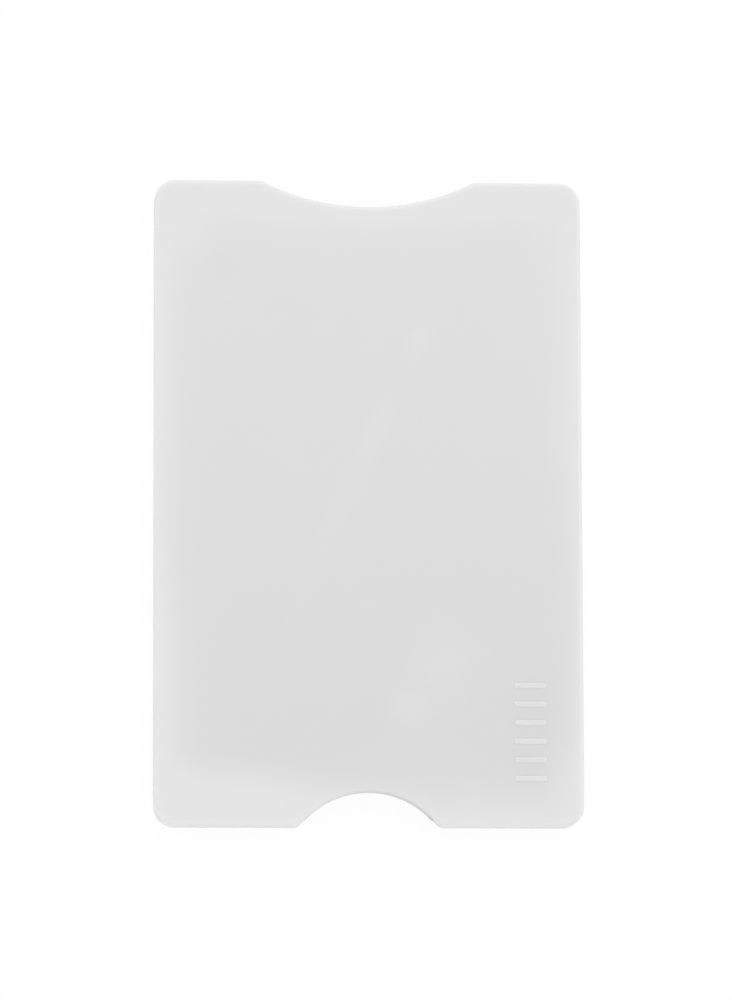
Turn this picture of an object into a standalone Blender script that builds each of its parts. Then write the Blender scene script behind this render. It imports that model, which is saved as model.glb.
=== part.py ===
"""Rigid plastic case for one bank-size card, open at one end, with a finger notch at each end.

Metres, +Z up. The case lies on its rear cover: X is its width, +Y points to the open end, and the origin lies
under the middle of the case, in the plane that it rests on.
"""

import math

import bmesh
import bpy

# The card that the case holds
CARD_WIDTH = 0.05398
CARD_LENGTH = 0.0856

# The slot round the card, and the walls round the slot
CARD_SIDE_CLEARANCE = 0.00021
SLOT_HEIGHT = 0.0015
CARD_RECESS = 0.0043  # how far the card's end lies inside the open end
STOP_LENGTH = 0.0011  # end wall that the card stops against
RIM_WIDTH = 0.0028
FACE_WALL = 0.00125

# Outline
CORNER_RADIUS = 0.003
EDGE_RADIUS = 0.0007  # where a face turns into the rim
MOUTH_RADIUS = 0.0004  # inner edges of the slot's mouth, which lead the card in

# Wide hollow in the open end, to pull the card by
PULL_NOTCH_DEPTH = 0.0036
PULL_NOTCH_RADIUS = 0.033
PULL_NOTCH_FILLET = 0.002

# Thumb notch in the closed end, an arc between straight flanks, to push the card by
THUMB_NOTCH_DEPTH = 0.0049
THUMB_NOTCH_RADIUS = 0.012
THUMB_NOTCH_FLANK = math.radians(42)  # between a flank and the end of the case
THUMB_NOTCH_FILLET = 0.0013

# Welded seam: the front cover's skirt goes round the rear cover's inner wall
SKIRT_WIDTH = 0.0013
SEAM_GAP = 0.0003
SEAM_EDGE = 0.00015

# Shielding sheets and the films over them, each pair in a recess of its cover
SHIELD_THICKNESS = 0.0001
LINER_THICKNESS = 0.0002
GLUE_LINE = 0.0001
RECESS_LEDGE = 0.0005  # between the recess and the slot's side wall
RECESS_TO_NOTCH = 0.0025
RECESS_CORNER = 0.002
SHEET_CLEARANCE = 0.0003  # round the film, in its recess
SHIELD_MARGIN = 0.0003  # of film past the shield's edge

# Bumps that hold the card near the mouth
BUMP_RADIUS = 0.0015
BUMP_HEIGHT = 0.00034
BUMP_FROM_SIDE = 0.004  # from the slot's side wall
BUMP_FROM_MOUTH = 0.0035

# Raised grip ribs on the front, near the closed end
RIB_COUNT = 6
RIB_LENGTH = 0.0045
RIB_WIDTH = 0.0007
RIB_HEIGHT = 0.00015
RIB_PITCH = 0.0026
RIBS_FROM_SIDE = 0.0075  # to the middle of a rib
RIBS_FROM_END = 0.0132  # to the middle of the row
RIB_END_SHARE = 0.4  # radius of a rib's ends, as a share of its width
RIB_EDGE_SHARE = 0.6  # radius of its upper edges, as a share of its height

# Steps in a curve
CORNER_STEPS = 8
FILLET_STEPS = 4
PULL_NOTCH_STEPS = 24
THUMB_NOTCH_STEPS = 16
EDGE_STEPS = 4
MOUTH_STEPS = 2
RIB_END_STEPS = 3
RIB_EDGE_STEPS = 2
BUMP_SEGMENTS = 16
BUMP_RINGS = 8
SHARP = 0.0001  # least radius of an outline's corner
OVERSHOOT = 0.002  # by which a cutter passes what it cuts

# Angles and distances that decide what counts as one line, one face or one curve
SAME_PLACE = 0.00005
WELD_DISTANCE = 0.000001
FLAT_ANGLE = math.radians(0.1)  # faces that meet at less are one face
EDGE_ANGLE = math.radians(60)  # edges that turn by more get rounded
SMOOTH_ANGLE = math.radians(35)  # edges that turn by less are shaded as a curve

# Surfaces
PLASTIC = (0.78, 0.78, 0.78)
PLASTIC_ROUGHNESS = 0.42
FILM = (0.72, 0.72, 0.7)
FILM_ROUGHNESS = 0.5
FOIL = (0.8, 0.8, 0.82)
FOIL_ROUGHNESS = 0.3

# Sizes that follow
SLOT_WIDTH = CARD_WIDTH + 2 * CARD_SIDE_CLEARANCE
CASE_WIDTH = SLOT_WIDTH + 2 * RIM_WIDTH
CASE_LENGTH = STOP_LENGTH + CARD_LENGTH + CARD_RECESS
CASE_THICKNESS = SLOT_HEIGHT + 2 * FACE_WALL
OPEN_END = CASE_LENGTH / 2
CLOSED_END = -CASE_LENGTH / 2
CARD_STOP = CLOSED_END + STOP_LENGTH
SLOT_FLOOR = FACE_WALL
SLOT_CEILING = FACE_WALL + SLOT_HEIGHT
SEAM_LEVEL = CASE_THICKNESS / 2
PULL_NOTCH_BOTTOM = OPEN_END - PULL_NOTCH_DEPTH
THUMB_NOTCH_TOP = CLOSED_END + THUMB_NOTCH_DEPTH
RECESS_DEPTH = 2 * GLUE_LINE + SHIELD_THICKNESS + LINER_THICKNESS


def arc(centre, radius, start, end, steps):
    """Points from angle start to angle end, both included."""
    angles = [start + (end - start) * i / steps for i in range(steps + 1)]
    return [(centre[0] + radius * math.cos(a), centre[1] + radius * math.sin(a)) for a in angles]


def mirrored(points):
    """The points' mirror image in the Y axis, in the opposite order."""
    return [(-x, y) for x, y in reversed(points)]


def pull_notch(inset):
    """Right half of the open end, from its middle to where the corner begins."""
    end = OPEN_END - inset
    radius = PULL_NOTCH_RADIUS + inset
    fillet = max(PULL_NOTCH_FILLET - inset, SHARP)
    centre_y = PULL_NOTCH_BOTTOM + PULL_NOTCH_RADIUS
    rise = centre_y - (end - fillet)
    reach = math.sqrt((radius + fillet) ** 2 - rise**2)
    turn = math.atan2(reach, rise)
    hollow = arc((0, centre_y), radius, -math.pi / 2, turn - math.pi / 2, PULL_NOTCH_STEPS // 2)
    return hollow + arc((reach, end - fillet), fillet, math.pi / 2 + turn, math.pi / 2, FILLET_STEPS)[1:]


def thumb_notch(inset):
    """Right half of the closed end, from where the corner ends to the middle of the notch."""
    end = CLOSED_END + inset
    radius = THUMB_NOTCH_RADIUS + inset
    fillet = max(THUMB_NOTCH_FILLET - inset, SHARP)
    flank = THUMB_NOTCH_FLANK
    centre_y = THUMB_NOTCH_TOP - THUMB_NOTCH_RADIUS
    fillet_y = end + fillet
    # The fillet touches the flank, a line at the flank's angle that touches the arc
    reach = (radius + fillet + (centre_y - fillet_y) * math.cos(flank)) / math.sin(flank)
    corner = arc((reach, fillet_y), fillet, -math.pi / 2, -math.pi / 2 - flank, FILLET_STEPS)
    hollow = arc((0, centre_y), radius, math.pi / 2 - flank, math.pi / 2, THUMB_NOTCH_STEPS // 2)
    return corner + hollow


def case_outline(inset=0.0):
    """Outline of the case, drawn in by inset all round, anticlockwise from the middle of the thumb notch."""
    radius = CORNER_RADIUS - inset
    centre_x = CASE_WIDTH / 2 - CORNER_RADIUS
    low = (centre_x, CLOSED_END + CORNER_RADIUS)
    high = (centre_x, OPEN_END - CORNER_RADIUS)
    right = list(reversed(thumb_notch(inset)))
    right += arc(low, radius, -math.pi / 2, 0, CORNER_STEPS)
    right += arc(high, radius, 0, math.pi / 2, CORNER_STEPS)
    right += list(reversed(pull_notch(inset)))
    return right + mirrored(right)[1:-1]


def rounded_rectangle(width, low, high, radius):
    """A rectangle centred on the Y axis, from low to high along it."""
    x = width / 2 - radius
    corners = [(x, low), (x, high), (-x, high), (-x, low)]
    inward = [radius, -radius, -radius, radius]
    points = []
    for i, (corner, shift) in enumerate(zip(corners, inward)):
        start = (i - 1) * math.pi / 2
        points += arc((corner[0], corner[1] + shift), radius, start, start + math.pi / 2, FILLET_STEPS)
    return points


def move_to(collection, obj):
    for old in obj.users_collection:
        old.objects.unlink(obj)
    collection.objects.link(obj)


def clean(mesh):
    """Welds loose caps and joins the flat triangles of each face."""
    bm = bmesh.new()
    bm.from_mesh(mesh)
    bmesh.ops.remove_doubles(bm, verts=bm.verts, dist=WELD_DISTANCE)
    bmesh.ops.dissolve_limit(bm, angle_limit=FLAT_ANGLE, verts=bm.verts, edges=bm.edges)
    bmesh.ops.recalc_face_normals(bm, faces=bm.faces)
    bm.to_mesh(mesh)
    bm.free()


def prism(name, points, bottom, top, collection):
    """A flat outline given thickness, as a mesh object halfway between bottom and top."""
    curve = bpy.data.curves.new(name, "CURVE")
    curve.dimensions = "2D"
    curve.fill_mode = "BOTH"
    curve.extrude = (top - bottom) / 2
    spline = curve.splines.new("POLY")
    spline.points.add(len(points) - 1)
    for point, (x, y) in zip(spline.points, points):
        point.co = (x, y, 0, 1)
    spline.use_cyclic_u = True
    drawn = bpy.data.objects.new(name + "_outline", curve)
    drawn.location.z = (top + bottom) / 2
    collection.objects.link(drawn)
    bpy.context.view_layer.update()
    evaluated = drawn.evaluated_get(bpy.context.evaluated_depsgraph_get())
    mesh = bpy.data.meshes.new_from_object(evaluated)
    clean(mesh)
    solid = bpy.data.objects.new(name, mesh)
    solid.matrix_world = drawn.matrix_world
    collection.objects.link(solid)
    bpy.data.objects.remove(drawn)
    bpy.data.curves.remove(curve)
    return solid


def box(name, low, high, collection):
    middle = [(a + b) / 2 for a, b in zip(low, high)]
    bpy.ops.mesh.primitive_cube_add(size=1, location=middle, scale=[b - a for a, b in zip(low, high)])
    solid = bpy.context.object
    bpy.ops.object.transform_apply(location=False, rotation=False, scale=True)
    solid.name = name
    move_to(collection, solid)
    return solid


def combine(target, operation, tool):
    """Cuts or joins target with tool, which stays as a guide among the cutters."""
    modifier = target.modifiers.new(tool.name, "BOOLEAN")
    modifier.operation = operation
    modifier.solver = "EXACT"
    modifier.object = tool
    tool.display_type = "WIRE"
    tool.hide_render = True


def apply_modifiers(obj):
    bpy.context.view_layer.update()
    evaluated = obj.evaluated_get(bpy.context.evaluated_depsgraph_get())
    mesh = bpy.data.meshes.new_from_object(evaluated)
    obj.modifiers.clear()
    obj.data = mesh
    clean(mesh)


def round_edges(obj, chosen, radius, steps):
    """Rounds the sharp outer edges for which chosen, given both ends in world coordinates, is true."""
    bm = bmesh.new()
    bm.from_mesh(obj.data)
    place = obj.matrix_world
    edges = []
    for edge in bm.edges:
        ends = [place @ vertex.co for vertex in edge.verts]
        if edge.calc_face_angle_signed() > EDGE_ANGLE and chosen(*ends):
            edges.append(edge)
    bmesh.ops.bevel(bm, geom=edges, offset=radius, segments=steps, profile=0.5, affect="EDGES")
    bm.to_mesh(obj.data)
    bm.free()


def at_level(level):
    """A test for edges that lie at one height."""
    return lambda a, b: max(abs(a.z - level), abs(b.z - level)) < SAME_PLACE


def upright(a, b):
    """A test for edges that run up and down."""
    return abs(a.z - b.z) > SAME_PLACE


def at_mouth(level):
    """A test for the slot's edges at one height, where the slot runs out of the case."""

    def test(a, b):
        outside_slot = max(abs(a.x), abs(b.x)) > SLOT_WIDTH / 2 + SAME_PLACE
        middle = (a.y + b.y) / 2
        between_notches = PULL_NOTCH_BOTTOM - SAME_PLACE > middle > THUMB_NOTCH_TOP + SAME_PLACE
        return at_level(level)(a, b) and not outside_slot and not between_notches

    return test


def material(name, colour, roughness, metallic=0.0):
    made = bpy.data.materials.new(name)
    made.use_nodes = True
    shader = made.node_tree.nodes["Principled BSDF"]
    shader.inputs["Base Color"].default_value = (*colour, 1)
    shader.inputs["Roughness"].default_value = roughness
    shader.inputs["Metallic"].default_value = metallic
    return made


def finish_part(obj, surface, case):
    """Gives a finished part its material, its shading and its place under the case's empty."""
    obj.data.materials.clear()
    obj.data.materials.append(surface)
    obj.data.shade_smooth()
    obj.data.set_sharp_from_angle(angle=SMOOTH_ANGLE)
    obj.parent = case


def recess_span():
    """Where a recess begins and ends along the case."""
    return THUMB_NOTCH_TOP + RECESS_TO_NOTCH, PULL_NOTCH_BOTTOM - RECESS_TO_NOTCH


def recess_cutter(name, bottom, top, cutters):
    low, high = recess_span()
    width = SLOT_WIDTH - 2 * RECESS_LEDGE
    return prism(name, rounded_rectangle(width, low, high, RECESS_CORNER), bottom, top, cutters)


def sheet(name, inset, bottom, thickness, parts):
    """A flat sheet that lies inset from the sides of its recess."""
    low, high = recess_span()
    width = SLOT_WIDTH - 2 * RECESS_LEDGE - 2 * inset
    outline = rounded_rectangle(width, low + inset, high - inset, RECESS_CORNER - inset)
    return prism(name, outline, bottom, bottom + thickness, parts)


def slot_cutter(name, bottom, top, cutters):
    """The card's space, carried out through the open end, and past the given levels."""
    half = SLOT_WIDTH / 2
    return box(name, (-half, CARD_STOP, bottom), (half, OPEN_END + OVERSHOOT, top), cutters)


def bumps(name, level, cutters):
    """Two flat domes on the slot's face at this level, which join a cover."""
    x = SLOT_WIDTH / 2 - BUMP_FROM_SIDE
    y = OPEN_END - BUMP_FROM_MOUTH
    made = []
    for side in (-1, 1):
        place = (side * x, y, level)
        bpy.ops.mesh.primitive_uv_sphere_add(segments=BUMP_SEGMENTS, ring_count=BUMP_RINGS, location=place)
        dome = bpy.context.object
        dome.scale = (BUMP_RADIUS, BUMP_RADIUS, BUMP_HEIGHT)
        made.append(dome)
    return gathered(name, made, cutters)


def grip_ribs(name, cutters):
    """A row of short raised bars with round ends, sunk in the front face by as much as they rise."""
    x = CASE_WIDTH / 2 - RIBS_FROM_SIDE
    middle = CLOSED_END + RIBS_FROM_END
    rib_top = CASE_THICKNESS + RIB_HEIGHT
    made = []
    for i in range(RIB_COUNT):
        y = middle + (i - (RIB_COUNT - 1) / 2) * RIB_PITCH
        low = (x - RIB_LENGTH / 2, y - RIB_WIDTH / 2, CASE_THICKNESS - RIB_HEIGHT)
        high = (x + RIB_LENGTH / 2, y + RIB_WIDTH / 2, rib_top)
        bar = box("rib", low, high, cutters)
        round_edges(bar, upright, RIB_WIDTH * RIB_END_SHARE, RIB_END_STEPS)
        round_edges(bar, at_level(rib_top), RIB_HEIGHT * RIB_EDGE_SHARE, RIB_EDGE_STEPS)
        made.append(bar)
    return gathered(name, made, cutters)


def gathered(name, objects, collection):
    """One object that holds the bodies of several."""
    bpy.ops.object.select_all(action="DESELECT")
    for obj in objects:
        obj.select_set(True)
    bpy.context.view_layer.objects.active = objects[0]
    bpy.ops.object.join()
    joined = bpy.context.object
    bpy.ops.object.transform_apply(location=False, rotation=False, scale=True)
    joined.name = name
    move_to(collection, joined)
    return joined


def build_front_cover(parts, cutters):
    """The front face with the skirt round its edge, open to the slot below."""
    skirt_bottom = SEAM_LEVEL + SEAM_GAP / 2
    cover = prism("front_cover", case_outline(), skirt_bottom, CASE_THICKNESS, parts)
    round_edges(cover, at_level(CASE_THICKNESS), EDGE_RADIUS, EDGE_STEPS)
    round_edges(cover, at_level(skirt_bottom), SEAM_EDGE, 1)
    below = skirt_bottom - OVERSHOOT
    groove = prism("front_groove", case_outline(SKIRT_WIDTH), below, SLOT_CEILING, cutters)
    slot = slot_cutter("front_slot", below, SLOT_CEILING, cutters)
    combine(cover, "DIFFERENCE", groove)
    combine(cover, "DIFFERENCE", slot)
    apply_modifiers(cover)
    round_edges(cover, at_mouth(SLOT_CEILING), MOUTH_RADIUS, MOUTH_STEPS)
    recess = recess_cutter("front_recess", below, SLOT_CEILING + RECESS_DEPTH, cutters)
    combine(cover, "DIFFERENCE", recess)
    combine(cover, "UNION", bumps("front_bumps", SLOT_CEILING, cutters))
    combine(cover, "UNION", grip_ribs("grip_ribs", cutters))
    return cover


def build_rear_cover(parts, cutters):
    """The rear face with the rim, whose inner wall stands up inside the front cover's skirt."""
    land = SEAM_LEVEL - SEAM_GAP / 2
    cover = prism("rear_cover", case_outline(), 0, land, parts)
    round_edges(cover, at_level(0), EDGE_RADIUS, EDGE_STEPS)
    round_edges(cover, at_level(land), SEAM_EDGE, 1)
    wall_top = SLOT_CEILING - SEAM_GAP
    wall_outline = case_outline(SKIRT_WIDTH + SEAM_GAP)
    wall = prism("rear_inner_wall", wall_outline, FACE_WALL / 2, wall_top, cutters)
    slot = slot_cutter("rear_slot", SLOT_FLOOR, wall_top + OVERSHOOT, cutters)
    combine(cover, "UNION", wall)
    combine(cover, "DIFFERENCE", slot)
    apply_modifiers(cover)
    round_edges(cover, at_mouth(SLOT_FLOOR), MOUTH_RADIUS, MOUTH_STEPS)
    recess = recess_cutter("rear_recess", SLOT_FLOOR - RECESS_DEPTH, wall_top + OVERSHOOT, cutters)
    combine(cover, "DIFFERENCE", recess)
    combine(cover, "UNION", bumps("rear_bumps", SLOT_FLOOR, cutters))
    return cover


def build_sheets(parts):
    """The shields at the bottom of their recesses, and the films over them, flush with the slot's faces."""
    shield_inset = SHEET_CLEARANCE + SHIELD_MARGIN
    front_shield_bottom = SLOT_CEILING + LINER_THICKNESS + GLUE_LINE
    rear_liner_bottom = SLOT_FLOOR - LINER_THICKNESS
    rear_shield_bottom = rear_liner_bottom - GLUE_LINE - SHIELD_THICKNESS
    shields = [
        sheet("front_shield", shield_inset, front_shield_bottom, SHIELD_THICKNESS, parts),
        sheet("rear_shield", shield_inset, rear_shield_bottom, SHIELD_THICKNESS, parts),
    ]
    liners = [
        sheet("front_liner", SHEET_CLEARANCE, SLOT_CEILING, LINER_THICKNESS, parts),
        sheet("rear_liner", SHEET_CLEARANCE, rear_liner_bottom, LINER_THICKNESS, parts),
    ]
    return shields, liners


def main():
    for obj in list(bpy.data.objects):
        bpy.data.objects.remove(obj)
    parts = bpy.data.collections.new("card_case")
    cutters = bpy.data.collections.new("cutters")
    bpy.context.scene.collection.children.link(parts)
    bpy.context.scene.collection.children.link(cutters)
    case = bpy.data.objects.new("card_case", None)
    parts.objects.link(case)

    front_cover = build_front_cover(parts, cutters)
    rear_cover = build_rear_cover(parts, cutters)
    shields, liners = build_sheets(parts)
    finish_part(front_cover, material("front_plastic", PLASTIC, PLASTIC_ROUGHNESS), case)
    finish_part(rear_cover, material("rear_plastic", PLASTIC, PLASTIC_ROUGHNESS), case)
    for shield in shields:
        finish_part(shield, material(shield.name + "_foil", FOIL, FOIL_ROUGHNESS, metallic=1.0), case)
    for liner in liners:
        finish_part(liner, material(liner.name + "_film", FILM, FILM_ROUGHNESS), case)


main()
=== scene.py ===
"""Looks of the card case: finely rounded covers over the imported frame, materials, light and camera.

In metres and in the frame of the CAD model: the case lies on its rear cover, +Y points to the open end
and +Z is up.
"""

import math

import bmesh
import bpy
from mathutils import Matrix, Vector


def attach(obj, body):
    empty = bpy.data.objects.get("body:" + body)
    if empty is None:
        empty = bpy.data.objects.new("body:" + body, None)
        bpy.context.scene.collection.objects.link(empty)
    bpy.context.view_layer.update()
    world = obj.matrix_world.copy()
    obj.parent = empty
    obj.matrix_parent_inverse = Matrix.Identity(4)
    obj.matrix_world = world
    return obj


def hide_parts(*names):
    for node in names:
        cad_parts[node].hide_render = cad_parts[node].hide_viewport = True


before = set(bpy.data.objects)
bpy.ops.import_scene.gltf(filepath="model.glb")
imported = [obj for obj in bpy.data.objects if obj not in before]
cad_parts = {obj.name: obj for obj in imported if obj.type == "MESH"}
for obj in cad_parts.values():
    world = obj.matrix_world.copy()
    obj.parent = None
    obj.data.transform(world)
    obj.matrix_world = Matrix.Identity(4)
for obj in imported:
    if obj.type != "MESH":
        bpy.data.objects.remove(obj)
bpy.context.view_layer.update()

# Sizes of the CAD model
CASE_WIDTH = 0.06
CASE_LENGTH = 0.091
CASE_THICKNESS = 0.004
CORNER_RADIUS = 0.003
EDGE_RADIUS = 0.0007
MOUTH_RADIUS = 0.0004
SLOT_WIDTH = 0.0544
SLOT_FLOOR = 0.00125
SLOT_CEILING = 0.00275
STOP_LENGTH = 0.0011
PULL_NOTCH_DEPTH = 0.0036
PULL_NOTCH_RADIUS = 0.033
PULL_NOTCH_FILLET = 0.002
THUMB_NOTCH_DEPTH = 0.0049
THUMB_NOTCH_RADIUS = 0.012
THUMB_NOTCH_FLANK = math.radians(42)
THUMB_NOTCH_FILLET = 0.0013
SKIRT_WIDTH = 0.0013
TONGUE_GAP = 0.0003
RECESS_LEDGE = 0.0005
RECESS_TO_NOTCH = 0.0025
RECESS_CORNER = 0.002
RECESS_DEPTH = 0.0005
BUMP_RADIUS = 0.0015
BUMP_HEIGHT = 0.00034
BUMP_FROM_SIDE = 0.004
BUMP_FROM_MOUTH = 0.0035
RIB_COUNT = 6
RIB_LENGTH = 0.0045
RIB_WIDTH = 0.0007
RIB_HEIGHT = 0.00015
RIB_PITCH = 0.0026
RIBS_FROM_SIDE = 0.0075
RIBS_FROM_END = 0.0132

# The seam shows narrower than the CAD model's, with its edges just broken
SEAM_LEVEL = CASE_THICKNESS / 2
SEAM_WIDTH = 0.00006
SEAM_EDGE = 0.00008

# A rib's side runs from outside its outline to inside it, and its foot is sunk in the face
RIB_FOOT_INSET = -0.00013
RIB_CREST_INSET = 0.0002
RIB_FOOT_SUNK = 0.000004
RIB_ROOT_SUNK = 0.00006
RIB_END_SHARE = 0.49  # radius of a rib's ends, as a share of its width

# Mark of the mould's gate in the rear face, from its rim to its middle, as radius and depth in millimetres
GATE_PROFILE = [
    (1.6, -2.0),
    (1.6, 0.0),
    (1.58, 0.05),
    (1.52, 0.09),
    (1.42, 0.11),
    (1.3, 0.12),
    (0.62, 0.12),
    (0.55, 0.11),
    (0.5, 0.08),
    (0.47, 0.05),
    (0.4, 0.04),
]

# Steps in a curve
CORNER_STEPS = 16
FILLET_STEPS = 8
PULL_NOTCH_STEPS = 36
THUMB_NOTCH_STEPS = 28
EDGE_STEPS = 12
SEAM_STEPS = 4
MOUTH_STEPS = 5
RECESS_STEPS = 6
RIB_STEPS = 12
RIB_END_STEPS = 8
BUMP_RINGS = 15
BUMP_SEGMENTS = 32
GATE_SEGMENTS = 48

# Least fillet of a notch, and how far a cutter passes what it cuts
LEAST_FILLET = 0.0001
OVERSHOOT = 0.002

# What counts as one height or place, as one point, as flat, as an edge to round and as a curve to shade
SAME_PLACE = 2e-5
WELD_DISTANCE = 2e-6
FLAT_ANGLE = math.radians(0.05)
EDGE_ANGLE = math.radians(60)
SMOOTH_ANGLE = math.radians(38)
NORMAL_WEIGHT = 50

# Places that follow
OPEN_END = CASE_LENGTH / 2
CLOSED_END = -CASE_LENGTH / 2
CARD_STOP = CLOSED_END + STOP_LENGTH
PULL_NOTCH_BOTTOM = OPEN_END - PULL_NOTCH_DEPTH
THUMB_NOTCH_TOP = CLOSED_END + THUMB_NOTCH_DEPTH

# Grey tones of the plastic: solid at the rim, and where the foil shows behind the face. The rear rim is a
# little darker than the front's as painted shade along the case's lower edge near the floor
FRONT_RIM_TONE = 0.781
REAR_RIM_SHADED_TONE = 0.773
FOIL_SHOWN_HIGH = 0.75
FOIL_SHOWN_LOW = 0.712

# Tones that places on the face are drawn towards, and how far; the ribs' feet get painted shade and their
# sides a painted highlight
DARKER = 0.4
LIGHTER = 0.9
CLOUD_TONE = 0.6
CLOUDINESS = 0.02
RIB_FOOT_SHADE = 0.22
RIB_SIDE_HIGHLIGHT = 0.22
RIB_LIFT = 0.1

# Lines where the foil starts to show behind the face and distances over which it fades in, in millimetres.
# The side lines bow outwards, and their fades are given near the closed end and near the open end. The line
# at the open end follows the hollow, and the one at the closed end is given at its left and its right
FOIL_LEFT = 28.75
FOIL_LEFT_FADE = (3.0, 2.0)
FOIL_RIGHT = 29.5
FOIL_RIGHT_FADE = (1.5, 2.8)
FOIL_SIDE_BOW = -0.0006
FOIL_OPEN_END = 39.9
FOIL_OPEN_END_LIMIT = 41.4
FOIL_OPEN_END_BOW = 0.004
FOIL_OPEN_END_FADE = 2.5
FOIL_CLOSED_END = (-41.5, -46.8)
FOIL_CLOSED_END_IN_FULL = (-34.5, -36.5)

# Soft oval places on the front face drawn lighter, or with a minus darker, as middle,
# turn in degrees, half length and half width in millimetres, and amount
FRONT_PATCHES = [
    ((-6.4, -6.4), 64.5, (14.0, 2.9), 0.048),
    ((-1.8, 3.8), 64.5, (12.0, 2.9), 0.045),
    ((1.4, 10.4), 64.5, (8.0, 3.2), 0.105),
    ((4.8, 17.9), 64.5, (6.0, 2.6), 0.02),
    ((7.4, 23.4), 64.5, (4.6, 2.7), 0.1),
    ((10.5, -22.3), 0, (8.2, 7.8), 0.11),
    ((5.6, -29.0), 0, (4.6, 4.4), 0.12),
    ((8.0, -28.5), 0, (10.0, 8.0), 0.05),
    ((27.3, -38.3), 0, (5.0, 7.0), 0.13),
    ((6.0, -36.0), 0, (15.0, 5.5), 0.04),
    ((27.0, 9.5), 0, (3.0, 9.0), 0.06),
    ((-26.5, -39.5), 0, (7.0, 6.0), 0.06),
    ((-24.8, 38.4), 0, (5.5, 5.5), 0.12),
    ((-17.8, 29.4), 20, (3.6, 1.5), 0.05),
    ((-20.3, 33.6), 0, (4.5, 4.0), -0.03),
]

# Floor
FLOOR_REACH = 1.5
FLOOR_THICKNESS = 0.01
FLOOR_WHITE = 1.025
FLOOR_WHITE_SHARE = 0.9
FLOOR_TONES = (0.79, 0.82)

# Light: the tent loses a share of its light to the back right and gains it to the front left
HORIZON_GLOW = 1.4
ZENITH_GLOW = 0.525
BACK_RIGHT_LOSS = 0.17
FRONT_LEFT = (-0.6, -0.8)
LAMP_POWER = 0.868
LAMP_ANGLE = math.radians(45)
LAMP_PLACE = (0.4, 0.7, 1.15)

# Camera, as fitted to the outline in the photo
CAMERA_PLACE = (-0.05965, -0.11566, 0.84686)
CAMERA_TARGET = (-0.00027, 0.00045, 0.002)
CAMERA_ROLL = 0.0031
LENS = 219.7
SENSOR_WIDTH = 36
CLIP_START = 0.01
CLIP_END = 20


# Outlines


def arc(centre, radius, start, end, steps):
    angles = [start + (end - start) * i / steps for i in range(steps + 1)]
    return [(centre[0] + radius * math.cos(a), centre[1] + radius * math.sin(a)) for a in angles]


def circle(centre, radius, count):
    return arc(centre, radius, 0, 2 * math.pi * (count - 1) / count, count - 1)


def pull_notch(inset):
    """Right half of the open end's hollow, from its middle to the end of its fillet."""
    end = OPEN_END - inset
    radius = PULL_NOTCH_RADIUS + inset
    fillet = max(PULL_NOTCH_FILLET - inset, LEAST_FILLET)
    centre_y = PULL_NOTCH_BOTTOM + PULL_NOTCH_RADIUS
    rise = centre_y - (end - fillet)
    reach = math.sqrt((radius + fillet) ** 2 - rise**2)
    turn = math.atan2(reach, rise)
    hollow = arc((0, centre_y), radius, -math.pi / 2, turn - math.pi / 2, PULL_NOTCH_STEPS)
    corner = arc((reach, end - fillet), fillet, math.pi / 2 + turn, math.pi / 2, FILLET_STEPS)
    return hollow + corner[1:]


def thumb_notch(inset):
    """Right half of the closed end's notch, from the start of its fillet to its middle."""
    end = CLOSED_END + inset
    radius = THUMB_NOTCH_RADIUS + inset
    fillet = max(THUMB_NOTCH_FILLET - inset, LEAST_FILLET)
    flank = THUMB_NOTCH_FLANK
    centre_y = THUMB_NOTCH_TOP - THUMB_NOTCH_RADIUS
    fillet_y = end + fillet
    reach = (radius + fillet + (centre_y - fillet_y) * math.cos(flank)) / math.sin(flank)
    corner = arc((reach, fillet_y), fillet, -math.pi / 2, -math.pi / 2 - flank, FILLET_STEPS)
    return corner + arc((0, centre_y), radius, math.pi / 2 - flank, math.pi / 2, THUMB_NOTCH_STEPS)


def case_outline(inset=0.0):
    """Outline of the case, drawn in by inset, anticlockwise from the middle of the thumb notch."""
    radius = CORNER_RADIUS - inset
    centre_x = CASE_WIDTH / 2 - CORNER_RADIUS
    right = list(reversed(thumb_notch(inset)))
    right += arc((centre_x, CLOSED_END + CORNER_RADIUS), radius, -math.pi / 2, 0, CORNER_STEPS)
    right += arc((centre_x, OPEN_END - CORNER_RADIUS), radius, 0, math.pi / 2, CORNER_STEPS)
    right += list(reversed(pull_notch(inset)))
    return right + [(-x, y) for x, y in reversed(right)][1:-1]


def rounded_rectangle(centre, width, length, radius, steps):
    points = []
    for turn, (side_x, side_y) in enumerate([(1, -1), (1, 1), (-1, 1), (-1, -1)]):
        corner_x = centre[0] + side_x * (width / 2 - radius)
        corner_y = centre[1] + side_y * (length / 2 - radius)
        start = (turn - 1) * math.pi / 2
        points += arc((corner_x, corner_y), radius, start, start + math.pi / 2, steps)
    return points


# Mesh work


def show(obj):
    bpy.context.scene.collection.objects.link(obj)
    return obj


def loft(name, rings):
    """A closed solid skinned over level outlines of equal counts, as (points, height) from the bottom up."""
    bm = bmesh.new()
    loops = [[bm.verts.new((x, y, height)) for x, y in points] for points, height in rings]
    for low, high in zip(loops, loops[1:]):
        for i, start in enumerate(low):
            j = (i + 1) % len(low)
            bm.faces.new((start, low[j], high[j], high[i]))
    bm.faces.new(list(reversed(loops[0])))
    bm.faces.new(loops[-1])
    mesh = bpy.data.meshes.new(name)
    bm.to_mesh(mesh)
    bm.free()
    return show(bpy.data.objects.new(name, mesh))


def box(name, low, high):
    corners = [(low[0], low[1]), (high[0], low[1]), (high[0], high[1]), (low[0], high[1])]
    return loft(name, [(corners, low[2]), (corners, high[2])])


def apply_modifiers(obj):
    bpy.context.view_layer.update()
    seen = obj.evaluated_get(bpy.context.evaluated_depsgraph_get())
    mesh = bpy.data.meshes.new_from_object(seen)
    obj.modifiers.clear()
    obj.data = mesh


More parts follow.
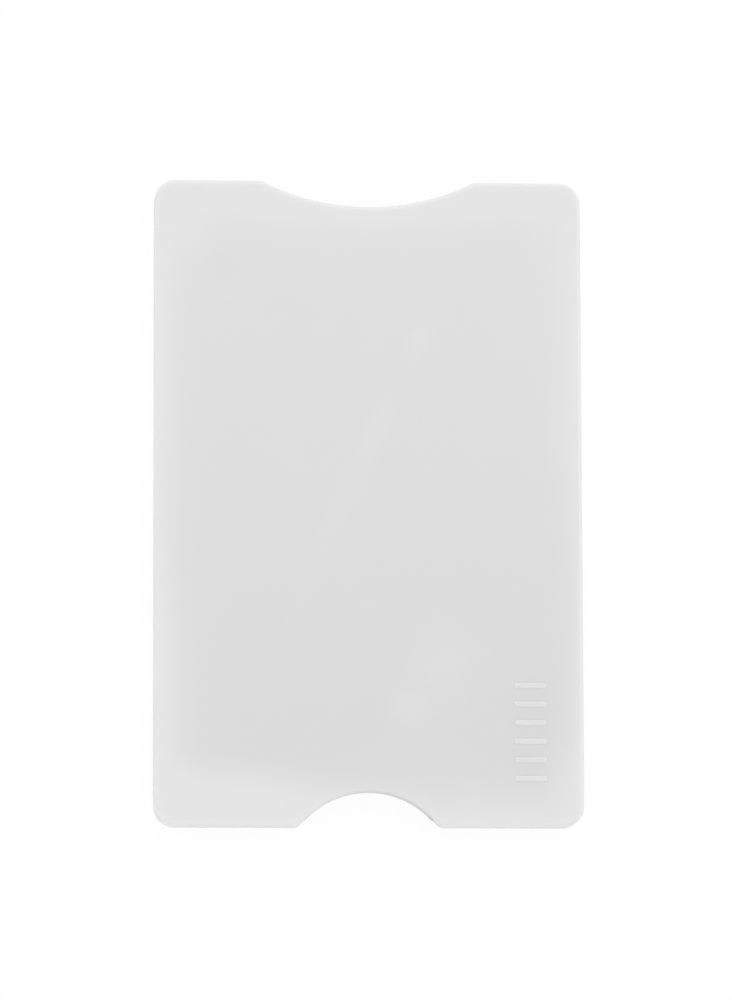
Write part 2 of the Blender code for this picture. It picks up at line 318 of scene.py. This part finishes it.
def combine(target, operation, *tools):
    """Cuts or joins target with each tool, and does away with the tools."""
    for tool in tools:
        modifier = target.modifiers.new(tool.name, "BOOLEAN")
        modifier.operation = operation
        modifier.solver = "EXACT"
        modifier.object = tool
    apply_modifiers(target)
    for tool in tools:
        bpy.data.objects.remove(tool)
    bm = bmesh.new()
    bm.from_mesh(target.data)
    bmesh.ops.remove_doubles(bm, verts=bm.verts, dist=WELD_DISTANCE)
    bmesh.ops.dissolve_limit(bm, angle_limit=FLAT_ANGLE, verts=bm.verts, edges=bm.edges)
    bm.to_mesh(target.data)
    bm.free()


def at_mouth(a, b, level):
    """Whether an edge lies at one height where the slot runs out of the case."""
    if max(abs(a.z - level), abs(b.z - level)) > SAME_PLACE:
        return False
    if max(abs(a.x), abs(b.x)) > SLOT_WIDTH / 2 + SAME_PLACE:
        return False
    middle = (a.y + b.y) / 2
    return not PULL_NOTCH_BOTTOM - SAME_PLACE > middle > THUMB_NOTCH_TOP + SAME_PLACE


def round_mouth(obj, level):
    """Rounds the slot's outer edges at one height."""
    bm = bmesh.new()
    bm.from_mesh(obj.data)
    edges = []
    for edge in bm.edges:
        ends = [vert.co for vert in edge.verts]
        if at_mouth(*ends, level) and edge.calc_face_angle_signed(0) >= EDGE_ANGLE:
            edges.append(edge)
    bmesh.ops.bevel(
        bm, geom=edges, offset=MOUTH_RADIUS, segments=MOUTH_STEPS, profile=0.5, affect="EDGES"
    )
    bm.to_mesh(obj.data)
    bm.free()


def smooth(obj):
    """Shades curves as curves and keeps large flat faces flat."""
    obj.data.shade_smooth()
    obj.data.set_sharp_from_angle(angle=SMOOTH_ANGLE)
    weighted = obj.modifiers.new("weighted", "WEIGHTED_NORMAL")
    weighted.mode = "FACE_AREA"
    weighted.weight = NORMAL_WEIGHT
    weighted.keep_sharp = True
    apply_modifiers(obj)


def quarter(radius, steps):
    """Insets and rises of a rounded edge, from its wall to its face."""
    turns = [math.pi / 2 * i / steps for i in range(steps + 1)]
    return [(radius * (1 - math.cos(t)), radius * math.sin(t)) for t in turns]


# Shapes


def seam_rings(level, outwards):
    """Rings from the wall to the broken edge at the seam; outwards is 1 upwards and -1 downwards."""
    edge = quarter(SEAM_EDGE, SEAM_STEPS)
    return [(case_outline(inset), level + outwards * (SEAM_EDGE - rise)) for inset, rise in edge]


def recess(name, low, high):
    start = THUMB_NOTCH_TOP + RECESS_TO_NOTCH
    end = PULL_NOTCH_BOTTOM - RECESS_TO_NOTCH
    centre = (0, (start + end) / 2)
    width = SLOT_WIDTH - 2 * RECESS_LEDGE
    outline = rounded_rectangle(centre, width, end - start, RECESS_CORNER, RECESS_STEPS)
    return loft(name, [(outline, low), (outline, high)])


def slot_space(name, low, high):
    half = SLOT_WIDTH / 2
    return box(name, (-half, CARD_STOP, low), (half, OPEN_END + OVERSHOOT, high))


def dome(name, centre, level):
    """A flat dome above and below one level."""
    rings = []
    for i in range(BUMP_RINGS):
        turn = -math.pi / 2 + math.pi * (i + 0.5) / BUMP_RINGS
        ring = circle(centre, BUMP_RADIUS * math.cos(turn), BUMP_SEGMENTS)
        rings.append((ring, level + BUMP_HEIGHT * math.sin(turn)))
    return loft(name, rings)


def bumps(level):
    x = SLOT_WIDTH / 2 - BUMP_FROM_SIDE
    y = OPEN_END - BUMP_FROM_MOUTH
    return [dome("bump_left", (-x, y), level), dome("bump_right", (x, y), level)]


def rib_profile():
    """Insets and rises of a rib's side, which runs softly from the face up to a narrow crest."""
    profile = [(RIB_FOOT_INSET, -RIB_ROOT_SUNK)]
    for i in range(RIB_STEPS + 1):
        share = i / RIB_STEPS
        rise = (RIB_HEIGHT + RIB_FOOT_SUNK) * share**2 * (3 - 2 * share) - RIB_FOOT_SUNK
        profile.append((RIB_FOOT_INSET + (RIB_CREST_INSET - RIB_FOOT_INSET) * share, rise))
    return profile


def grip_ribs():
    """Raised bars with round ends."""
    x = CASE_WIDTH / 2 - RIBS_FROM_SIDE
    made = []
    for i in range(RIB_COUNT):
        centre = (x, CLOSED_END + RIBS_FROM_END + (i - (RIB_COUNT - 1) / 2) * RIB_PITCH)
        rings = []
        for inset, rise in rib_profile():
            width = RIB_LENGTH - 2 * inset
            length = RIB_WIDTH - 2 * inset
            outline = rounded_rectangle(centre, width, length, length * RIB_END_SHARE, RIB_END_STEPS)
            rings.append((outline, CASE_THICKNESS + rise))
        made.append(loft(f"rib_{i}", rings))
    return made


def gate_mark():
    """The space of a shallow round dimple in the rear face, less the gate's stub in its middle."""
    rings = []
    for radius, depth in GATE_PROFILE:
        rings.append((circle((0, 0), radius * 0.001, GATE_SEGMENTS), depth * 0.001))
    return loft("gate_mark", rings)


def build_front_shell():
    skirt_bottom = SEAM_LEVEL + SEAM_WIDTH / 2
    edge_bottom = CASE_THICKNESS - EDGE_RADIUS
    edge = [(case_outline(inset), edge_bottom + rise) for inset, rise in quarter(EDGE_RADIUS, EDGE_STEPS)]
    rings = list(reversed(seam_rings(skirt_bottom, 1)))
    shell = loft("front_shell", rings + edge)
    below = skirt_bottom - OVERSHOOT
    groove = case_outline(SKIRT_WIDTH)
    combine(shell, "DIFFERENCE", loft("groove", [(groove, below), (groove, SLOT_CEILING)]))
    combine(shell, "DIFFERENCE", slot_space("slot", below, SLOT_CEILING))
    round_mouth(shell, SLOT_CEILING)
    combine(shell, "DIFFERENCE", recess("recess", below, SLOT_CEILING + RECESS_DEPTH))
    combine(shell, "UNION", *bumps(SLOT_CEILING))
    combine(shell, "UNION", *grip_ribs())
    smooth(shell)
    return shell


def build_rear_shell():
    land = SEAM_LEVEL - SEAM_WIDTH / 2
    rounding = reversed(quarter(EDGE_RADIUS, EDGE_STEPS))
    edge = [(case_outline(inset), EDGE_RADIUS - rise) for inset, rise in rounding]
    shell = loft("rear_shell", edge + seam_rings(land, -1))
    tongue = case_outline(SKIRT_WIDTH + TONGUE_GAP)
    tongue_top = SLOT_CEILING - TONGUE_GAP
    above = tongue_top + OVERSHOOT
    combine(shell, "UNION", loft("tongue", [(tongue, SLOT_FLOOR / 2), (tongue, tongue_top)]))
    combine(shell, "DIFFERENCE", slot_space("slot", SLOT_FLOOR, above))
    round_mouth(shell, SLOT_FLOOR)
    combine(shell, "DIFFERENCE", recess("recess", SLOT_FLOOR - RECESS_DEPTH, above))
    combine(shell, "UNION", *bumps(SLOT_FLOOR))
    combine(shell, "DIFFERENCE", gate_mark())
    smooth(shell)
    return shell


# Materials


def grey(value):
    return (value, value, value, 1)


class Graph:
    """Short ways to add nodes to a material or a world."""

    def __init__(self, owner):
        owner.use_nodes = True
        self.owner = owner
        self.nodes = owner.node_tree.nodes
        self.links = owner.node_tree.links

    def set(self, socket, value):
        if isinstance(value, bpy.types.NodeSocket):
            self.links.new(value, socket)
        else:
            socket.default_value = value

    def place(self):
        """Place in the object's own frame, in millimetres."""
        node = self.nodes.new("ShaderNodeVectorMath")
        node.operation = "SCALE"
        self.set(node.inputs[0], self.nodes.new("ShaderNodeTexCoord").outputs["Object"])
        self.set(node.inputs["Scale"], 1000)
        return node.outputs["Vector"]

    def split(self, place):
        node = self.nodes.new("ShaderNodeSeparateXYZ")
        self.set(node.inputs[0], place)
        return node.outputs

    def math(self, operation, a, b=0.0, c=0.0):
        node = self.nodes.new("ShaderNodeMath")
        node.operation = operation
        for socket, value in zip(node.inputs, (a, b, c)):
            self.set(socket, value)
        return node.outputs[0]

    def span(self, value, low, high, to_low=0.0, to_high=1.0, smooth=True):
        node = self.nodes.new("ShaderNodeMapRange")
        node.interpolation_type = "SMOOTHSTEP" if smooth else "LINEAR"
        for socket, given in zip(node.inputs, (value, low, high, to_low, to_high)):
            self.set(socket, given)
        return node.outputs["Result"]

    def noise(self, place, scale, detail=2.0, roughness=0.5, stretch=None):
        if stretch:
            node = self.nodes.new("ShaderNodeVectorMath")
            node.operation = "MULTIPLY"
            self.set(node.inputs[0], place)
            self.set(node.inputs[1], stretch)
            place = node.outputs["Vector"]
        node = self.nodes.new("ShaderNodeTexNoise")
        self.set(node.inputs["Vector"], place)
        self.set(node.inputs["Scale"], scale)
        self.set(node.inputs["Detail"], detail)
        self.set(node.inputs["Roughness"], roughness)
        return node.outputs["Fac"]

    def mix(self, share, a, b):
        node = self.nodes.new("ShaderNodeMix")
        node.data_type = "RGBA"
        self.set(node.inputs[0], share)
        self.set(node.inputs[6], a)
        self.set(node.inputs[7], b)
        return node.outputs[2]

    def patch(self, place, centre, turn, size):
        """A soft oval patch, 1 in the middle. Its size is its half length and half width in millimetres."""
        node = self.nodes.new("ShaderNodeMapping")
        node.vector_type = "TEXTURE"
        self.set(node.inputs["Vector"], place)
        self.set(node.inputs["Location"], (*centre, 0))
        self.set(node.inputs["Rotation"], (0, 0, math.radians(turn)))
        self.set(node.inputs["Scale"], (*size, 1000))
        gradient = self.nodes.new("ShaderNodeTexGradient")
        gradient.gradient_type = "SPHERICAL"
        self.set(gradient.inputs[0], node.outputs[0])
        return self.span(gradient.outputs["Fac"], 0, 1)

    def fade(self, depth, reach):
        """From 0 at a line to 1 far past it, by e-folding over reach."""
        past = self.math("MAXIMUM", depth, 0.0)
        left = self.math("EXPONENT", self.math("DIVIDE", past, self.math("MULTIPLY", reach, -1.0)))
        return self.math("SUBTRACT", 1.0, left)

    def square(self, value):
        return self.math("POWER", self.math("ABSOLUTE", value), 2.0)

    def bump(self, height, strength, distance, normal=None):
        """The surface's direction over a relief whose full height is the distance, in metres."""
        node = self.nodes.new("ShaderNodeBump")
        self.set(node.inputs["Strength"], strength)
        self.set(node.inputs["Distance"], distance)
        self.set(node.inputs["Height"], height)
        if normal:
            self.set(node.inputs["Normal"], normal)
        return node.outputs["Normal"]

    def seen_as_white(self):
        """1 for camera, glossy and transmission rays, and 0 for all others."""
        ray = self.nodes.new("ShaderNodeLightPath").outputs
        mirrored = self.math("MAXIMUM", ray["Is Glossy Ray"], ray["Is Transmission Ray"])
        return self.math("MAXIMUM", ray["Is Camera Ray"], mirrored)


def foil_shown(g, across, along):
    """How strongly the foil behind the face shows, from 0 at the solid rim to 1 in the middle."""
    # Left and right
    line = g.math("MULTIPLY_ADD", g.square(g.math("ADD", along, 2.0)), FOIL_SIDE_BOW, FOIL_LEFT)
    reach = g.span(along, -32, 0, *FOIL_LEFT_FADE, smooth=False)
    left = g.fade(g.math("ADD", across, line), reach)
    line = g.math("MULTIPLY_ADD", g.square(g.math("ADD", along, 15.0)), FOIL_SIDE_BOW, FOIL_RIGHT)
    reach = g.span(along, -10, 20, *FOIL_RIGHT_FADE, smooth=False)
    right = g.fade(g.math("SUBTRACT", line, across), reach)

    # Open end
    hollow = g.math("MULTIPLY_ADD", g.square(across), FOIL_OPEN_END_BOW, FOIL_OPEN_END)
    line = g.math("MINIMUM", hollow, FOIL_OPEN_END_LIMIT)
    top = g.fade(g.math("SUBTRACT", line, along), FOIL_OPEN_END_FADE)

    # Closed end: the line lies lower to the right of the thumb notch
    start = g.span(across, -20, 10, *FOIL_CLOSED_END)
    end = g.span(across, -20, 0, *FOIL_CLOSED_END_IN_FULL)
    bottom = g.span(along, start, end)
    return g.math("MULTIPLY", g.math("MULTIPLY", left, right), g.math("MULTIPLY", top, bottom))


def rib_tone(g, tone, height):
    """Darkens the face a little round the ribs' feet, and lightens the ribs, most of all their sides.

    The ribs are thicker, so less of the foil shows through them; the extra lightening of their sides is a
    painted highlight, and the darkening round their feet is painted shade. Heights are in millimetres, and
    the face lies at 4.
    """
    # Painted shade round the ribs' feet
    foot = g.math("MULTIPLY", g.span(height, 4.0005, 4.004), g.span(height, 4.015, 4.04, 1.0, 0.0))
    tone = g.mix(g.math("MULTIPLY", foot, RIB_FOOT_SHADE), tone, grey(DARKER))
    # Painted highlight on the ribs' upper sides, added to the lightening of the thicker ribs
    slope = g.math("MULTIPLY", g.span(height, 4.01, 4.07), g.span(height, 4.10, 4.15, 1.0, 0.0))
    lift = g.math("MULTIPLY_ADD", slope, RIB_SIDE_HIGHLIGHT, g.span(height, 4.01, 4.13, 0.0, RIB_LIFT))
    return g.mix(lift, tone, grey(LIGHTER))


def moulded_plastic(name, rim_tone, patches):
    """White plastic, faintly translucent: the foil behind the face shows as a soft darker area."""
    g = Graph(bpy.data.materials.new(name))
    shader = g.nodes["Principled BSDF"].inputs
    place = g.place()
    across, along, height = g.split(place)

    # The foil shows more strongly towards the closed end
    foil_tone = g.mix(g.span(along, -31, 34, smooth=False), grey(FOIL_SHOWN_LOW), grey(FOIL_SHOWN_HIGH))
    tone = g.mix(foil_shown(g, across, along), grey(rim_tone), foil_tone)
    # Soft patches drawn lighter, or darker where their amount is below nought
    for centre, turn, size, amount in patches:
        patch_share = g.math("MULTIPLY", g.patch(place, centre, turn, size), abs(amount))
        tone = g.mix(patch_share, tone, grey(LIGHTER if amount > 0 else DARKER))
    tone = rib_tone(g, tone, height)

    # Cloudiness of the melt
    cloud = g.span(g.noise(place, scale=0.09, detail=3.0), 0.3, 0.7, 0.0, CLOUDINESS)
    g.set(shader["Base Color"], g.mix(cloud, tone, grey(CLOUD_TONE)))

    # Fine spark texture of the mould, and slight waves where the wall cooled unevenly
    spark = g.noise(place, scale=5.5, detail=3.0, roughness=0.6)
    waves = g.noise(place, scale=0.12, detail=1.0)
    gloss = g.noise(place, scale=0.35, detail=4.0, roughness=0.6)
    g.set(shader["Roughness"], g.span(gloss, 0.25, 0.75, 0.58, 0.65))
    waved = g.bump(waves, strength=0.25, distance=0.0003)
    g.set(shader["Normal"], g.bump(spark, strength=0.25, distance=0.00003, normal=waved))
    g.set(shader["IOR"], 1.49)
    g.set(shader["Specular IOR Level"], 0.25)
    g.set(shader["Subsurface Weight"], 0.5)
    g.set(shader["Subsurface Radius"], (1.0, 0.95, 0.9))
    g.set(shader["Subsurface Scale"], 0.0009)
    return g.owner


def rolled_foil():
    """Thin aluminium with rolling lines along it and shallow creases."""
    g = Graph(bpy.data.materials.new("rolled_foil"))
    shader = g.nodes["Principled BSDF"].inputs
    place = g.place()
    lines = g.noise(place, scale=1.0, detail=4.0, roughness=0.6, stretch=(9, 0.15, 1))
    creases = g.noise(place, scale=0.25, detail=5.0, roughness=0.55)
    g.set(shader["Base Color"], g.mix(lines, grey(0.78), (0.84, 0.84, 0.85, 1)))
    g.set(shader["Roughness"], g.span(lines, 0.3, 0.7, 0.22, 0.38))
    creased = g.bump(creases, strength=0.4, distance=0.0004)
    g.set(shader["Normal"], g.bump(lines, strength=0.1, distance=0.00004, normal=creased))
    g.set(shader["Metallic"], 1.0)
    return g.owner


def milky_film():
    """White film over the foil, a little uneven where the glue under it is."""
    g = Graph(bpy.data.materials.new("milky_film"))
    shader = g.nodes["Principled BSDF"].inputs
    place = g.place()
    glue = g.noise(place, scale=0.3, detail=3.0, roughness=0.55)
    grain = g.noise(place, scale=6.0, detail=2.0)
    tone = g.mix(g.span(glue, 0.3, 0.7), (0.70, 0.70, 0.69, 1), (0.76, 0.76, 0.75, 1))
    g.set(shader["Base Color"], tone)
    g.set(shader["Roughness"], g.span(grain, 0.3, 0.7, 0.3, 0.4))
    uneven = g.bump(glue, strength=0.2, distance=0.0002)
    g.set(shader["Normal"], g.bump(grain, strength=0.06, distance=0.00002, normal=uneven))
    return g.owner


def studio_floor():
    """A white floor that keeps the case's faint shadow."""
    g = Graph(bpy.data.materials.new("studio_floor"))
    shader = g.nodes["Principled BSDF"]
    tone = g.span(g.noise(g.place(), scale=0.02, detail=2.0), 0.3, 0.7, *FLOOR_TONES)
    g.set(shader.inputs["Base Color"], g.mix(tone, grey(0.0), grey(1.0)))
    g.set(shader.inputs["Roughness"], 0.9)
    g.set(shader.inputs["Specular IOR Level"], 0.1)
    white = g.nodes.new("ShaderNodeEmission")
    g.set(white.inputs["Strength"], FLOOR_WHITE)
    both = g.nodes.new("ShaderNodeMixShader")
    g.set(both.inputs[0], g.math("MULTIPLY", g.seen_as_white(), FLOOR_WHITE_SHARE))
    g.set(both.inputs[1], shader.outputs[0])
    g.set(both.inputs[2], white.outputs[0])
    g.set(g.nodes["Material Output"].inputs["Surface"], both.outputs[0])
    return g.owner


# Pieces


def coat(shell, surface):
    shell.data.materials.clear()
    shell.data.materials.append(surface)


def dress(node, surface):
    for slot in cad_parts[node].material_slots:
        slot.material = surface


front_shell = build_front_shell()
coat(front_shell, moulded_plastic("front_moulding", FRONT_RIM_TONE, FRONT_PATCHES))
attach(front_shell, "root")
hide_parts("front_cover")

rear_shell = build_rear_shell()
# The rear cover takes the same plastic a little darker: painted shade along the case's lower edge near the
# floor
coat(rear_shell, moulded_plastic("rear_moulding", REAR_RIM_SHADED_TONE, []))
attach(rear_shell, "root")
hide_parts("rear_cover")

foil = rolled_foil()
film = milky_film()
dress("front_shield", foil)
dress("rear_shield", foil)
dress("front_liner", film)
dress("rear_liner", film)


# Studio


def build_floor():
    low = (-FLOOR_REACH, -FLOOR_REACH, -FLOOR_THICKNESS)
    floor = box("studio_floor", low, (FLOOR_REACH, FLOOR_REACH, 0.0))
    floor.data.materials.append(studio_floor())
    return floor


def build_tent():
    """A white tent of light, brighter low down than overhead, and to the front left than the back right."""
    g = Graph(bpy.data.worlds.new("soft_studio"))
    sky = g.nodes["Background"].inputs
    place = g.nodes.new("ShaderNodeTexCoord").outputs["Generated"]
    glow = g.span(g.split(place)["Z"], 0, 1, HORIZON_GLOW, ZENITH_GLOW)
    side = g.nodes.new("ShaderNodeVectorMath")
    side.operation = "DOT_PRODUCT"
    g.set(side.inputs[0], place)
    g.set(side.inputs[1], (FRONT_LEFT[0] * BACK_RIGHT_LOSS, FRONT_LEFT[1] * BACK_RIGHT_LOSS, 0))
    lit = g.math("MULTIPLY_ADD", side.outputs["Value"], glow, glow)
    g.set(sky["Strength"], g.span(g.seen_as_white(), 0, 1, lit, 1.0, smooth=False))
    g.set(sky["Color"], grey(1.0))
    return g.owner


def aim(obj, place, target, roll=0.0):
    """Turns an object that looks along -Z towards target, its top towards +Y turned by roll."""
    forward = (Vector(target) - Vector(place)).normalized()
    right = forward.cross(Vector((math.sin(roll), math.cos(roll), 0))).normalized()
    turn = Matrix((right, right.cross(forward), -forward)).transposed()
    obj.matrix_world = Matrix.Translation(place) @ turn.to_4x4()


def build_lamp():
    """One large soft lamp above, to the right and behind."""
    data = bpy.data.lights.new("softbox", "SUN")
    data.angle = LAMP_ANGLE
    data.energy = LAMP_POWER
    lamp = show(bpy.data.objects.new("softbox", data))
    aim(lamp, LAMP_PLACE, (0, 0, 0))


def build_camera():
    data = bpy.data.cameras.new("camera")
    data.sensor_width = SENSOR_WIDTH
    data.lens = LENS
    data.clip_start = CLIP_START
    data.clip_end = CLIP_END
    camera = show(bpy.data.objects.new("camera", data))
    aim(camera, CAMERA_PLACE, CAMERA_TARGET, CAMERA_ROLL)
    return camera


floor = build_floor()
bpy.context.scene.world = build_tent()
build_lamp()
bpy.context.scene.camera = build_camera()
bpy.context.scene.view_settings.view_transform = "Standard"
